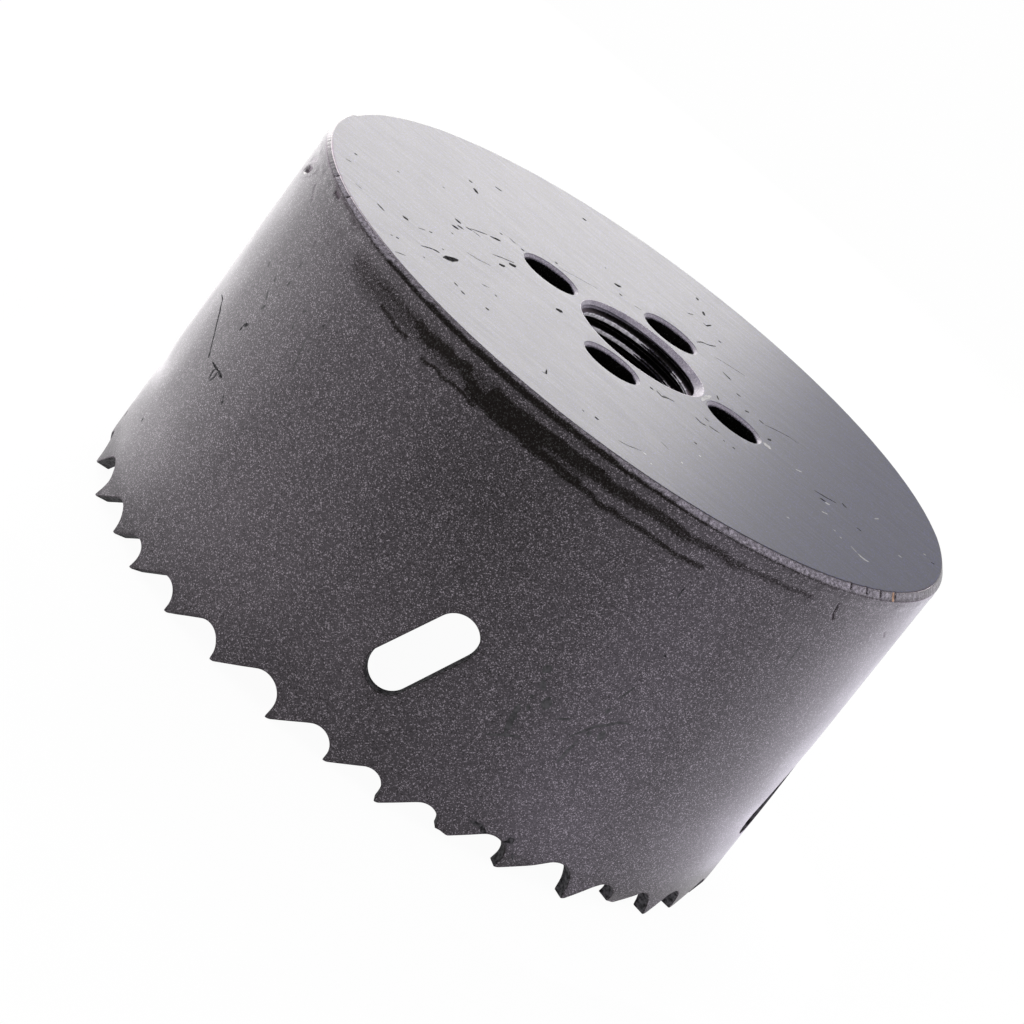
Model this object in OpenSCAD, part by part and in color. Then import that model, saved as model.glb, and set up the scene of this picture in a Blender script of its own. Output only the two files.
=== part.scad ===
// Hole saw, 83 mm size: a strip of toothed steel rolled into a cup round a flat end cap.
// It stands on its tooth tips. The origin is the middle of the ring of tips, and +Z runs up the
// axis to the cap's face. Angles count anticlockwise from +X, seen from the cap. Sizes are in mm.

/* [Shell] */
// Outside diameter of the rolled strip
shell_d = 81.4; // [70:0.1:110]
// Thickness of the rolled strip
wall_t = 1.6; // [1.2:0.05:2.4]
// Height from the tooth tips to the cap's face
height = 44.3; // [40:0.1:70]
// Radial width of the bevel round the top edge
bevel_w = 0.6; // [0.2:0.05:1]
// Height of the bevel round the top edge
bevel_h = 0.74; // [0.2:0.02:1.2]
// Distance from the cap's face down to the sunken band that the weld left
weld_drop = 1.5; // [1.3:0.05:2]
// Height of the sunken weld band
weld_h = 3.6; // [1:0.1:4]
// Depth of the sunken weld band
weld_sink = 0.12; // [0.05:0.01:0.3]

/* [Teeth] */
// Number of teeth
tooth_count = 34; // [20:1:44]
// Spacing of the teeth, as shares that repeat round the edge
tooth_spacing = [9.3, 9.7, 11, 12.6, 10.1]; // [8:0.1:14]
// Lean of the teeth, repeated in the same order: 1 outwards, 0 upright, -1 inwards
tooth_lean = [-1, 1, 0, -1, 1]; // [-1:1:1]
// Distance that a leaning tooth's tip stands out of the wall
set_w = 0.5; // [0.1:0.05:0.8]
// Share of the shallowest gullet's depth over which the teeth lean
set_share = 0.85; // [0.5:0.05:0.95]
// Slope of a tooth's back above the tip plane
back_angle = 34; // [25:1:40]
// Forward lean of a tooth's cutting face
hook_angle = 3; // [0:0.5:8]
// Radius at the bottom of a gullet, as a share of the distance between its two tips
gullet_share = 0.28; // [0.24:0.005:0.29]
// Length of the flat at a tooth's tip
land_w = 0.5; // [0.2:0.05:0.5]
// Rise of the flat at a tooth's tip
land_rise = 0.1; // [0.05:0.01:0.3]
// Angle of the first tooth, just past the strip's hidden seam
first_tooth = 170.8; // [0:0.1:360]
// Teeth that are worn short, counted from the first
worn_teeth = [12, 15]; // [0:1:19]
// Height that the worn teeth have lost
worn_h = 0.9; // [0.2:0.1:1.5]

/* [Slots] */
// Number of slots through the wall
slot_count = 4; // [2:1:4]
// Angle from one slot to the next along the strip
slot_step = 92.8; // [60:0.1:100]
// Angle of the slot that starts the row
first_slot = 0; // [-30:0.1:30]
// Width of a slot
slot_w = 5.15; // [3:0.05:8]
// Length of a slot from end to end
slot_l = 12.8; // [9:0.1:18]
// Lean of a slot away from the axis
slot_lean = 25.5; // [0:0.5:45]
// Height of a slot's middle above the tips
slot_z = 15.7; // [14:0.1:22]

/* [Cap] */
// Thickness of the end cap
cap_t = 6.3; // [4.5:0.1:10]
// Diameter of the bore inside the arbor's thread
bore_d = 14.5; // [11:0.1:16]
// Width of the countersink at each end of the bore
bore_sink = 0.85; // [0.3:0.05:1.2]
// Number of drive-pin holes
pin_count = 4; // [2:1:5]
// Circle on which the drive-pin holes lie
pin_circle_d = 25.4; // [24.6:0.1:50]
// Diameter of a drive-pin hole
pin_hole_d = 6.6; // [4:0.1:7.6]
// Width of the chamfer at the mouth of a drive-pin hole
pin_sink = 0.3; // [0.1:0.05:0.5]

/* [Hidden] */
ring_fn = 240;
hole_fn = 72;
// Straight steps that make up the arc of a gullet
arc_steps = 12;
// Overrun that carries a cut clear of the metal
over = 1;
outer_r = shell_d / 2;
inner_r = outer_r - wall_t;
// The cap is pressed into the shell, so the two share one radius
cap_r = inner_r;
cap_z = height - cap_t;
pin_circle_r = pin_circle_d / 2;
weld_top = height - weld_drop;
weld_bottom = weld_top - weld_h;

function arc_deg(len) = len / outer_r * 180 / PI;
function arc_len(deg) = deg * PI / 180 * outer_r;
function share(i) = tooth_spacing[i % len(tooth_spacing)];
function share_sum(n) = n == 0 ? 0 : share(n - 1) + share_sum(n - 1);
function tip_deg(i) = first_tooth + 360 * share_sum(i) / share_sum(tooth_count);
function pitch_len(i) = arc_len(360 * share(i) / share_sum(tooth_count));

function gullet_r(pitch) = gullet_share * pitch;

// The gullet's arc touches the tooth's back on one side and the next cutting face on the other
function gullet_z(pitch) =
    (sin(back_angle) * (pitch - gullet_r(pitch) / cos(hook_angle) - land_w)
        + cos(back_angle) * land_rise - gullet_r(pitch))
    / (cos(back_angle) - sin(back_angle) * tan(hook_angle));
function gullet_x(pitch) =
    pitch - gullet_r(pitch) / cos(hook_angle) + tan(hook_angle) * gullet_z(pitch);
function gullet_deg(i) = tip_deg(i) + arc_deg(gullet_x(pitch_len(i)));
// The strip's ends meet in the middle of the first tooth
seam_deg = tip_deg(0) + arc_deg(pitch_len(0) / 8);
shallowest = min([for (i = [0:tooth_count - 1])
    gullet_z(pitch_len(i)) + gullet_r(pitch_len(i))]);
lean_h = set_share * shallowest;

// Outline of one gullet on the unrolled strip, with x = 0 under the middle of its arc
module gullet_outline(pitch) {
    x = gullet_x(pitch);
    z = gullet_z(pitch);
    r = gullet_r(pitch);
    start = 90 + back_angle;
    sweep = start + hook_angle;
    polygon(concat(
        [[-x, -over], [-x, 0], [land_w - x, land_rise]],
        [for (step = [0:arc_steps]) let (a = start - sweep * step / arc_steps)
            [r * cos(a), z + r * sin(a)]],
        [[pitch - x, 0], [pitch - x, -over]]
    ));
}

// A cut that runs radially through the wall at the given angle
module through_wall(angle) {
    rotate([0, 0, angle])
        translate([inner_r - set_w - over, 0, 0])
            rotate([90, 0, 90])
                linear_extrude(wall_t + 2 * (set_w + over)) children();
}

module gullet(i) {
    through_wall(gullet_deg(i)) gullet_outline(pitch_len(i));
}

// Turns a section over the stretch of wall that becomes one tooth. It ends inside the gullets
// on the tooth's two sides, so that neighbours stay apart.
module over_tooth(i) {
    before = i == 0 ? gullet_deg(tooth_count - 1) - 360 : gullet_deg(i - 1);
    clear = arc_deg(gullet_r(pitch_len(i)) / 4);
    rotate([0, 0, before + clear])
        rotate_extrude(angle = gullet_deg(i) - before - 2 * clear, $fn = ring_fn) children();
}

// What comes off the flared foot of the ring outside (side = 1) or inside (side = -1) a tooth
module spare_metal(side, lean) {
    r = side > 0 ? outer_r : inner_r;
    rise = lean == 0 ? 0 : over;
    polygon([
        [r - lean * rise / lean_h, lean_h + rise],
        [r + lean * (1 + over / lean_h), -over],
        [r + side * (set_w + over), -over],
        [r + side * (set_w + over), lean_h + rise]
    ]);
}

// An upright tooth is trimmed on both sides, a leaning one on the side that it leans away from
module tooth_trim(i) {
    lean = set_w * tooth_lean[i % len(tooth_lean)];
    if (lean >= 0) over_tooth(i) spare_metal(-1, lean);
    if (lean <= 0) over_tooth(i) spare_metal(1, lean);
}

// The tip that a worn tooth has lost
module worn_tip(i) {
    rotate([0, 0, tip_deg(i)])
        translate([inner_r - set_w - over, -gullet_r(pitch_len(i)), -over])
            cube([wall_t + 2 * (set_w + over), pitch_len(i), worn_h + over]);
}

module slot_outline() {
    straight = (slot_l - slot_w) / 2;
    translate([0, slot_z])
        rotate(-slot_lean) {
            square([slot_w, 2 * straight], center = true);
            for (side = [-1, 1])
                translate([0, side * straight]) circle(d = slot_w, $fn = hole_fn);
        }
}

// The foot flares both ways, as far as the teeth lean
module ring_section() {
    polygon([
        [inner_r, lean_h],
        [inner_r - set_w, 0],
        [outer_r + set_w, 0],
        [outer_r, lean_h],
        [outer_r, weld_bottom],
        [outer_r - weld_sink, weld_bottom + weld_h / 3],
        [outer_r - weld_sink, weld_top - weld_h / 3],
        [outer_r, weld_top],
        [outer_r, height - bevel_h],
        [outer_r - bevel_w, height],
        [inner_r, height]
    ]);
}

module toothed_shell() {
    color([0.22, 0.21, 0.22])
        difference() {
            rotate([0, 0, seam_deg]) rotate_extrude($fn = ring_fn) ring_section();
            for (i = [0:tooth_count - 1]) gullet(i);
            for (i = [0:tooth_count - 1]) tooth_trim(i);
            for (i = worn_teeth) worn_tip(i);
            for (i = [0:slot_count - 1]) through_wall(first_slot + i * slot_step) slot_outline();
        }
}

// A round hole down through the cap, opened out by a cone at its mouths
module cap_hole(d, sink, both_ends) {
    translate([0, 0, cap_z - over]) cylinder(d = d, h = cap_t + 2 * over, $fn = hole_fn);
    translate([0, 0, height - sink])
        cylinder(d1 = d, d2 = d + 2 * (sink + over), h = sink + over, $fn = hole_fn);
    if (both_ends)
        translate([0, 0, cap_z - over])
            cylinder(d1 = d + 2 * (sink + over), d2 = d, h = sink + over, $fn = hole_fn);
}

module end_cap() {
    color([0.45, 0.45, 0.47])
        difference() {
            translate([0, 0, cap_z]) cylinder(r = cap_r, h = cap_t, $fn = ring_fn);
            cap_hole(bore_d, bore_sink, true);
            for (i = [0:pin_count - 1])
                rotate([0, 0, i * 360 / pin_count])
                    translate([pin_circle_r, 0, 0]) cap_hole(pin_hole_d, pin_sink, false);
        }
}

end_cap();
toothed_shell();
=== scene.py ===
"""Looks of the hole saw: a detailed shell and cap in flake paint, their marks, and the studio.

Lengths are in millimetres until build_piece() turns them into metres. The wall is laid out flat
first: s runs round its outside (mm of arc from +X, anticlockwise from above), z runs up from the
tooth tips, and depth runs inwards from the outside.
"""

import math

import bmesh
import bpy
import numpy as np
from mathutils import Matrix, Vector, kdtree
from mathutils.geometry import delaunay_2d_cdt


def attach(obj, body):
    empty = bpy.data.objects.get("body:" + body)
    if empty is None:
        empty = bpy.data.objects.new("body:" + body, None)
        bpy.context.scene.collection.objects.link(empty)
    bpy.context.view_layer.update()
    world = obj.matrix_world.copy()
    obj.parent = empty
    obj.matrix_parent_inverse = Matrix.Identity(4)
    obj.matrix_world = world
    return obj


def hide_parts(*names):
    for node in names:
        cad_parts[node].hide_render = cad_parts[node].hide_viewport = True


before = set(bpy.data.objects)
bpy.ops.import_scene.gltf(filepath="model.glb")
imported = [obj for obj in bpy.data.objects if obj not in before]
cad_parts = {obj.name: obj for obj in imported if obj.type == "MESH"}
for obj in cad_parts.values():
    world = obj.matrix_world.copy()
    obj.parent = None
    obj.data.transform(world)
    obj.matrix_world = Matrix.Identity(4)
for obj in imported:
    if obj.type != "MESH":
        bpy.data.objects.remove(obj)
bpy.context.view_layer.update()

# Sizes of the solids, as in the part's source
OUTER_R = 40.7
WALL_T = 1.6
INNER_R = OUTER_R - WALL_T
HEIGHT = 44.3
BEVEL_W = 0.6
BEVEL_H = 0.74
TEETH = 34
SPACING = (9.3, 9.7, 11, 12.6, 10.1)
TOOTH_LEAN = (-1, 1, 0, -1, 1)
SET_W = 0.5
SET_SHARE = 0.85
BACK_ANGLE = math.radians(34)
HOOK_ANGLE = math.radians(3)
GULLET_SHARE = 0.28
LAND_W = 0.5
LAND_RISE = 0.1
FIRST_TOOTH = 170.8
SLOT_ANGLES = (0, 92.8, 185.6, 278.4)
SLOT_W = 5.15
SLOT_L = 12.8
SLOT_LEAN = math.radians(25.5)
SLOT_Z = 15.7
CAP_T = 6.3
BORE_R = 7.25
BORE_SINK = 0.85
PIN_CIRCLE_R = 12.7
PIN_R = 3.3
PIN_SINK = 0.3

# Details that only the looks have
# Teeth that are bent away from their set, each with the lean that it has
BENT_TEETH = ((2, -1), (3, 0), (5, -0.2))
# Degrees that teeth stand away from their even places
TOOTH_SHIFTS = ((6, -0.2), (8, -0.3), (9, -0.5), (10, -0.4), (11, -0.4), (12, -0.4), (13, 0.2))
# Radius that rounds off the cut edges
EDGE_R = 0.14
# The arbor thread's pitch and its largest radius
THREAD_PITCH = 1.411
THREAD_R = 7.94
# Steps round the cap's edge and round a pin hole
CAP_STEPS = 384
PIN_STEPS = 72
# Height at which the filled face of the wall ends and the rim's even grid starts
GRID_TOP = 37.0
ROUND = 2 * math.pi * OUTER_R
# Share of the paint flakes that the black takes together
SOFTEN = 0.9
# How much painted shade darkens the paint at a cut edge, and the width in which that fades away
EDGE_SHADE = 0.3
EDGE_FADE = 0.3
# Keeps the two sides of a sharp corner from being merged
APART = 0.002
# Numbers of the materials on the shell, in the order that main() gives them
PAINT, SCRATCH, RUB, FACE, CUT, BROWN = range(6)
# Numbers of the materials that the cap has in place of the shell's
FLECK, CREST_HIGHLIGHT = 2, 3
# Fine cells of flake to a metre
FLAKE_SCALE = 10500
# How much of what is seen of the floor is even white. The rest takes the object's shadow.
FLOOR_WHITE = 0.96
# Brightness of the world, for the light on the object and as seen
WORLD_LIGHT = 0.85
WORLD_SEEN = 1.0
# A standing card's distance, the heights of its middle and of its aim on the axis, and its size
TALL_CARD = (0.077, 0.033, 0.078, (0.0278, 0.076))
SHORT_CARD = (0.0703, 0.0216, 0.0627, (0.026, 0.05))
# The cards between these angles are short, so that the cap's face doesn't mirror them
SHORT_FROM, SHORT_TO = 30, 150
random = np.random.default_rng(7)


def arc(degrees):
    """Place on the laid-out wall of an angle round the axis."""
    return math.radians(degrees) * OUTER_R


def clamp(value):
    """The value, kept between 0 and 1."""
    return np.clip(value, 0, 1)


def unit(vectors):
    """The same directions with a length of 1."""
    return vectors / np.linalg.norm(vectors, axis=-1)[..., None]


# The toothed edge

shares = np.array([SPACING[i % len(SPACING)] for i in range(TEETH)], float)
tips = arc(FIRST_TOOTH) + np.concatenate([[0], np.cumsum(shares)[:-1]]) / shares.sum() * ROUND
for i, degrees in TOOTH_SHIFTS:
    tips[i] += arc(degrees)
pitches = np.diff(np.append(tips, tips[0] + ROUND))


def gullet_centre(pitch):
    """Middle of a gullet's arc, from the tip before it, and the arc's radius."""
    r = GULLET_SHARE * pitch
    z = (
        math.sin(BACK_ANGLE) * (pitch - r / math.cos(HOOK_ANGLE) - LAND_W)
        + math.cos(BACK_ANGLE) * LAND_RISE
        - r
    ) / (math.cos(BACK_ANGLE) - math.sin(BACK_ANGLE) * math.tan(HOOK_ANGLE))
    x = pitch - r / math.cos(HOOK_ANGLE) + math.tan(HOOK_ANGLE) * z
    return x, z, r


gullets = tips + np.array([gullet_centre(p)[0] for p in pitches])
shallowest = min(sum(gullet_centre(p)[1:]) for p in pitches)
BEND_Z = SET_SHARE * shallowest


def resample(points, step):
    """The same line with its points evenly spaced, about step apart."""
    points = np.asarray(points, float)
    run = np.concatenate([[0], np.cumsum(np.hypot(*np.diff(points, axis=0).T))])
    at = np.linspace(0, run[-1], int(round(run[-1] / step)) + 1)
    return np.stack([np.interp(at, run, points[:, k]) for k in (0, 1)], 1)


def soften(points, step, sigma):
    """An open line with its corners rounded off, its ends kept."""
    line = resample(points, step)
    reach = int(4 * sigma / step) + 1
    kernel = np.exp(-0.5 * (np.arange(-reach, reach + 1) * step / sigma) ** 2)
    kernel /= kernel.sum()
    start = line[0] - (line[1] - line[0]) * np.arange(reach, 0, -1)[:, None]
    end = line[-1] + (line[-1] - line[-2]) * np.arange(1, reach + 1)[:, None]
    padded = np.concatenate([start, line, end])
    return np.stack([np.convolve(padded[:, k], kernel, "valid") for k in (0, 1)], 1)


def thin_out(line, spacing, sharpness):
    """Fewer points on a dense line: spacing apart where it's straight, closer where it bends."""
    run = np.hypot(*np.diff(line, axis=0).T)
    heading = np.unwrap(np.arctan2(*np.diff(line, axis=0).T[::-1]))
    bend = np.abs(np.gradient(heading))
    weight = np.concatenate([[0], np.cumsum(run / spacing + bend * sharpness)])
    at = np.linspace(0, weight[-1], int(math.ceil(weight[-1])) + 1)
    return np.stack([np.interp(at, weight, line[:, k]) for k in (0, 1)], 1)


def worn(line):
    """Takes the tips off the teeth that the photo shows worn and chipped."""
    s, z = line.T
    flat_tip = (s > tips[12] - 1.2) & (s < tips[12] + 3)
    z = np.where(flat_tip, np.maximum(z, 0.93 + 0.06 * np.sin(3 * (s - tips[12]))), z)
    chipped = (s > tips[15] - 1.5) & (s < tips[15] + 4)
    z = np.where(chipped, np.maximum(z, 0.75 - 0.1 * (s - tips[15])), z)
    return np.stack([s, z], 1)


def toothed_line():
    """The lower edge once round, from one gullet's top to the same one again."""
    line = []
    for i in range(-1, TEETH + 1):
        wrap = ROUND * ((i >= TEETH) - (i < 0))
        tip = tips[i % TEETH] + wrap
        x, z, r = gullet_centre(pitches[i % TEETH])
        rise = 0.05 * random.random() if i % TEETH else 0.02
        line += [(tip, rise), (tip + LAND_W, LAND_RISE + rise)]
        for a in np.linspace(math.pi / 2 + BACK_ANGLE, -HOOK_ANGLE, 24):
            line.append((tip + x + r * math.cos(a), z + r * math.sin(a)))
    line = soften(worn(resample(line, 0.04)), 0.04, 0.12)
    start = gullets[-1] - ROUND
    inside = (line[:, 0] > start) & (line[:, 0] < start + ROUND)
    top = sum(gullet_centre(pitches[-1])[1:])
    line = np.concatenate([[(start, top)], line[inside], [(start + ROUND, top)]])
    return thin_out(line, 0.26, 3.2)


def slot_line(angle):
    """One slot's edge, clockwise seen from outside, so that the metal is on the left."""
    straight = (SLOT_L - SLOT_W) / 2
    line = []
    for a in np.linspace(0, -2 * math.pi, 97)[:-1]:
        x = SLOT_W / 2 * math.cos(a)
        z = SLOT_W / 2 * math.sin(a) + math.copysign(straight, math.sin(a) + 1e-9)
        line.append((x, z))
    line = resample(line + line[:1], 0.3)[:-1]
    turn = np.array(
        [
            [math.cos(SLOT_LEAN), -math.sin(SLOT_LEAN)],
            [math.sin(SLOT_LEAN), math.cos(SLOT_LEAN)],
        ]
    )
    return line @ turn + (arc(angle), SLOT_Z)


def outward(line, closed):
    """Unit vectors that point out of the metal, which is on the line's left."""
    if closed:
        along = np.roll(line, -1, 0) - np.roll(line, 1, 0)
    else:
        along = np.gradient(line, axis=0)
        along[0] = along[-1] = (1, 0)
    along = unit(along)
    return np.stack([along[:, 1], -along[:, 0]], 1)


# The wall's shape

START = gullets[-1] - ROUND
# Places of the rim's columns round the wall, closer together on the side that the photo shows
COLUMN_ANGLES = np.concatenate([np.arange(0, 20), np.arange(20, 200, 0.2), np.arange(200, 360)])
COLUMNS = START + ROUND * COLUMN_ANGLES / 360


def ripple(s, seed, waves, power=0.5):
    """Smooth noise that closes round the ring, between about -1 and 1."""
    rng = np.random.default_rng(seed)
    out = np.zeros_like(s)
    for k in range(*waves):
        out += np.cos(k * s / OUTER_R + rng.uniform(0, 2 * math.pi)) / k**power
    return out / math.sqrt(sum(1 / k ** (2 * power) for k in range(*waves)))


def lean(s, z):
    """How far the tooth at s leans out, and how far its bend has come, from 0 to 1."""
    ways = np.array([TOOTH_LEAN[i % len(TOOTH_LEAN)] for i in range(TEETH)], float)
    for i, bent_way in BENT_TEETH:
        ways[i] = bent_way
    way = ways[np.searchsorted(gullets, s) % TEETH]
    t = (BEND_Z - z) / BEND_Z
    bent = (np.sqrt(t * t + 0.004) + t) / 2
    return way, clamp(bent)


def stroke_field(s, z, strokes):
    """The level of the strokes on them, fading to 0 beside them."""
    field = np.zeros(np.broadcast(s, z).shape)
    for level, half, soft, a0, z0, a1, z1 in strokes:
        s0, s1 = arc(a0), arc(a1)
        away = (s - s0 + ROUND / 2) % ROUND - ROUND / 2
        t = np.clip(
            (away * (s1 - s0) + (z - z0) * (z1 - z0)) / ((s1 - s0) ** 2 + (z1 - z0) ** 2 + 1e-9),
            0,
            1,
        )
        d = np.hypot(away - t * (s1 - s0), (z - z0) - t * (z1 - z0))
        near = clamp((half + soft - d) / (2 * soft))
        field = np.maximum(field, level * near * near * (3 - 2 * near))
    return field


# Dark sunken stretches of the weld band, their dark partly the weld's own and partly painted shade
# where the band faces down: level, half-width, softness, then angle and height of the two ends
WELD_STROKES = (
    (0.5, 0.06, 0.14, -146, 43.62, -142, 43.6),
    (0.8, 0.12, 0.14, -142.5, 43.6, -133, 43.58),
    (0.9, 0.26, 0.16, -141.4, 43.25, -139.8, 43.2),
    (0.7, 0.15, 0.16, -133, 43.58, -121, 43.62),
    (0.6, 0.24, 0.2, -133.3, 43.36, -130.5, 43.34),
    (0.95, 0.2, 0.18, -122, 43.68, -110, 43.68),
    (1, 0.27, 0.18, -112, 43.7, -100, 43.7),
    (1, 0.34, 0.2, -102, 43.7, -84, 43.7),
    (1, 0.29, 0.2, -85, 43.7, -76, 43.68),
    (0.95, 0.24, 0.2, -79, 43.66, -72, 43.64),
    (0.9, 0.2, 0.18, -73, 43.62, -66, 43.6),
    (0.8, 0.15, 0.16, -68, 43.58, -60, 43.56),
    (0.7, 0.1, 0.14, -62, 43.53, -34, 43.48),
    (0.4, 0.12, 0.12, -22, 43.7, -5, 43.75),
    (0.55, 1.6, 1.2, -126, 41, -90, 41.5),
    (0.25, 1, 1, -137, 41, -126, 41),
    (0.3, 0.24, 0.28, -149, 41.3, -146.5, 40.2),
    (0.35, 0.22, 0.28, -135.5, 39.7, -132, 39.75),
    (0.35, 0.24, 0.28, -132, 39.5, -127.5, 39.2),
    (0.4, 0.27, 0.28, -137.5, 38.5, -137.3, 38.1),
    (0.5, 0.42, 0.38, -126, 41.6, -122.5, 41.3),
    (0.75, 0.37, 0.38, -120, 41.4, -115, 41.4),
    (0.85, 0.32, 0.38, -114, 41.8, -111, 41.6),
    (0.95, 0.62, 0.38, -111, 41.5, -107, 41.3),
    (0.95, 0.52, 0.38, -109.5, 41, -107.8, 40.8),
    (0.95, 0.72, 0.38, -107, 41.5, -100.8, 41.6),
    (0.95, 0.57, 0.38, -101, 41.1, -97.5, 40.7),
    (0.95, 0.67, 0.38, -99, 40.3, -94, 39.95),
    (0.95, 0.95, 0.35, -95.2, 41.45, -84, 41.5),
    (0.95, 1, 0.35, -96, 40.4, -87, 40.5),
    (0.9, 0.6, 0.35, -88.5, 39.9, -79, 39.7),
    (0.9, 0.9, 0.4, -86, 41.5, -77, 41.6),
    (0.55, 0.5, 0.4, -84, 40.6, -79, 40.5),
    (0.85, 0.75, 0.4, -79, 41.65, -70, 41.6),
    (0.8, 0.68, 0.4, -72, 41.65, -62, 41.55),
    (0.7, 0.55, 0.45, -64, 41.55, -52, 41.5),
    (0.6, 0.4, 0.4, -53, 41.5, -38, 41.75),
    (0.85, 0.4, 0.3, -82, 39.5, -72, 39.5),
    (0.8, 0.34, 0.3, -75, 39.5, -57, 39.3),
    (0.3, 0.18, 0.33, -58, 39.45, -42, 39.6),
    (0.85, 0.32, 0.33, -118, 39.85, -111.5, 39.65),
    (0.4, 0.22, 0.33, -121.5, 39.3, -118, 39.7),
    (0.85, 0.27, 0.3, -107.5, 39.25, -104, 39.5),
    (0.85, 0.27, 0.3, -104, 39.5, -97, 39.35),
    # The pit's painted shade: a soft dark patch above it and dark lines round its dent
    (0.45, 0.5, 0.45, -160, 41.2, -157, 41.7),
    (0.95, 0.1, 0.1, -158.9, 40.55, -156.4, 41.1),
    (0.95, 0.13, 0.1, -159.6, 39.95, -157.6, 40.1),
    (0.95, 0.1, 0.1, -159.6, 40, -158.9, 40.5),
    (0.6, 0.1, 0.1, -157.6, 40.1, -156.2, 41),
    (0.45, 0.2, 0.15, -158.5, 40.3, -156.8, 40.8),
    (0.85, 0.12, 0.1, -31.8, 41.9, -31.3, 40.6),
    (0.85, 0.16, 0.1, -31.3, 40.6, -30.6, 40.1),
    (0.45, 0.14, 0.12, -13.8, 39.3, -12.4, 38.6),
    (0.4, 0.27, 0.33, -163.5, 39.2, -160.5, 39.7),
)
# The weld band's dark round the rest of the ring, partly painted shade, at even steps
FAR_STROKES = tuple(
    (0.6, 0.25, 0.35, a, 41.4 + 0.2 * math.sin(a), a + 9, 41.3 + 0.2 * math.cos(2 * a))
    for a in range(10, 180, 13)
)
# How wide the bevel is beside its full width, and how strong the painted highlight on it is, by
# angle
BEVEL_SHARE = ((-180, 0.5), (-165, 0.5), (-140, 0.58), (-125, 0.9), (-118, 1), (180, 1))
BEVEL_SHINE = (
    (-180, 0.25), (-162, 0.2), (-158, 0.05), (-147, 0.05), (-144, 0.4), (-128, 0.42),
    (-120, 0.34), (-108, 0.2), (-94, 0.2), (-80, 0.34), (-66, 0.44), (-28, 0.44), (-19, 0.28),
    (-11, 0.34), (-4, 0.12), (10, 0.05), (30, 0.2), (180, 0.25),
)
# Angles of the nicks across the bevel and of the bright specks on it
BEVEL_NICKS = (-144.9, -138.3, -31.2, -27.1, -23.2, -18.6)
BEVEL_SPECKS = (-31.9, -21.3)
# Angle of the brown grain in a nick
BROWN_GRAIN = -19.4
# The bright-rimmed pit by the weld: angle, height, half-width and half-height
PIT = (-157.7, 40.55, 1.5, 0.45)


# Where the paint is scratched through to black, on the wall: half-width in mm, then the angles
# and heights along each scratch. A single place is a chip.
WALL_SCRATCHES = (
    (0.1, (-155.7, 24.3), (-153.3, 24.4), (-150, 23.4), (-146.8, 22.1), (-143.5, 20.4)),
    (0.14, (-151.2, 23.9), (-150, 23.4)),
    (0.14, (-144.4, 20.9), (-143.4, 20.3)),
    (0.11, (-141.7, 20.6), (-138.5, 20.8)),
    (0.15, (-138.7, 20.8), (-136.5, 20.8)),
    (0.12, (-139.3, 21), (-139.8, 20.2), (-139.4, 19.2)),
    (0.12, (-138.5, 20.8), (-138.4, 20), (-139, 19.2)),
    (0.08, (-133.7, 20), (-133, 19.6)),
    (0.16, (-133, 19.6), (-132.6, 19.2)),
    (0.17, (-139.2, 26.7), (-140.6, 26)),
    (0.08, (-140.4, 26), (-140.5, 25.2)),
    (0.2, (-61.2, 3.6), (-59.9, 3.6), (-58.9, 3.8)),
    (0.24, (-59.3, 3.7), (-58.2, 3.2), (-58, 2.8)),
    (0.4, (-53.6, 4.1), (-54.2, 3.4)),
    (0.25, (-54.3, 3.3), (-54, 2.2), (-54.3, 1)),
    (0.1, (-52.5, 2.6), (-51.5, 1.8)),
    (0.25, (-164, 5.6), (-163, 5)),
    (0.12, (-150.7, 9.2), (-150.2, 8.7)),
    (0.12, (-128.8, 5.9), (-128.4, 5.4)),
    (0.14, (-72.6, 18.5), (-72.2, 18.3)),
    (0.12, (-61, 23.8), (-60.9, 23.4)),
    (0.13, (-52.6, 29.5), (-52.7, 29.1)),
    (0.12, (-47.4, 21.2), (-47, 21)),
    (0.15, (-124.8, 33.9), (-124.6, 33.6)),
    (0.06, (-57, 36.7), (-56.9, 35.2)),
    (0.16, (-53.6, 4), (-54.6, 3.2), (-55.4, 2.9)),
)
# Rubs and smears that only dull the paint, in the same form
WALL_RUBS = (
    (0.11, (-141.4, 32.2), (-140.5, 31.7)),
    (0.16, (-140.7, 30.7), (-139.3, 29.8)),
    (0.18, (-138.5, 29.6), (-139.2, 28.8)),
    (0.12, (-146, 32.3), (-145.2, 31.7)),
    (0.1, (-137.3, 36), (-137.4, 34.9)),
    (0.12, (-136.8, 33.7), (-137, 32.8)),
    (0.1, (-137.2, 31.7), (-137.5, 31.3)),
    (0.06, (-126.1, 32.3), (-125.7, 30.9), (-125.1, 29.4), (-124.1, 27.7)),
    (0.07, (-130.3, 31.4), (-129.5, 30.6)),
    (0.22, (-129.9, 33.2), (-129.6, 32.9)),
    (0.32, (-66.1, 17.3), (-65.7, 15.8), (-65.1, 13.6)),
    (0.13, (-67.4, 12.5), (-64.8, 13.6), (-62.8, 14.3)),
    (0.4, (-65.7, 22.5), (-66.3, 21.3)),
    (0.3, (-65.6, 20.8), (-64.4, 19.7)),
    (0.45, (-63.2, 19.6), (-62.6, 18)),
    (0.16, (-65.2, 18.9), (-65.4, 18.3)),
    (0.2, (-64.8, 17.7), (-64.5, 17)),
    (0.1, (-60.5, 17.8), (-58.2, 18.6)),
    (0.13, (-57, 16.7), (-55.8, 17.9), (-54.4, 19.2), (-53, 19.9), (-51.7, 20.7), (-49.6, 21.1)),
    (0.14, (-55.9, 13.6), (-55.7, 15.2), (-55.4, 17)),
    (0.22, (-54.2, 21.7), (-54.6, 20.8)),
    (0.1, (-54.3, 22.9), (-53.3, 25)),
    (0.25, (-54.9, 18.4), (-54.4, 17.8)),
    (0.3, (-52.9, 19.3), (-52.7, 17.7)),
    (0.08, (-33, 36.5), (-32.4, 33)),
)
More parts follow.
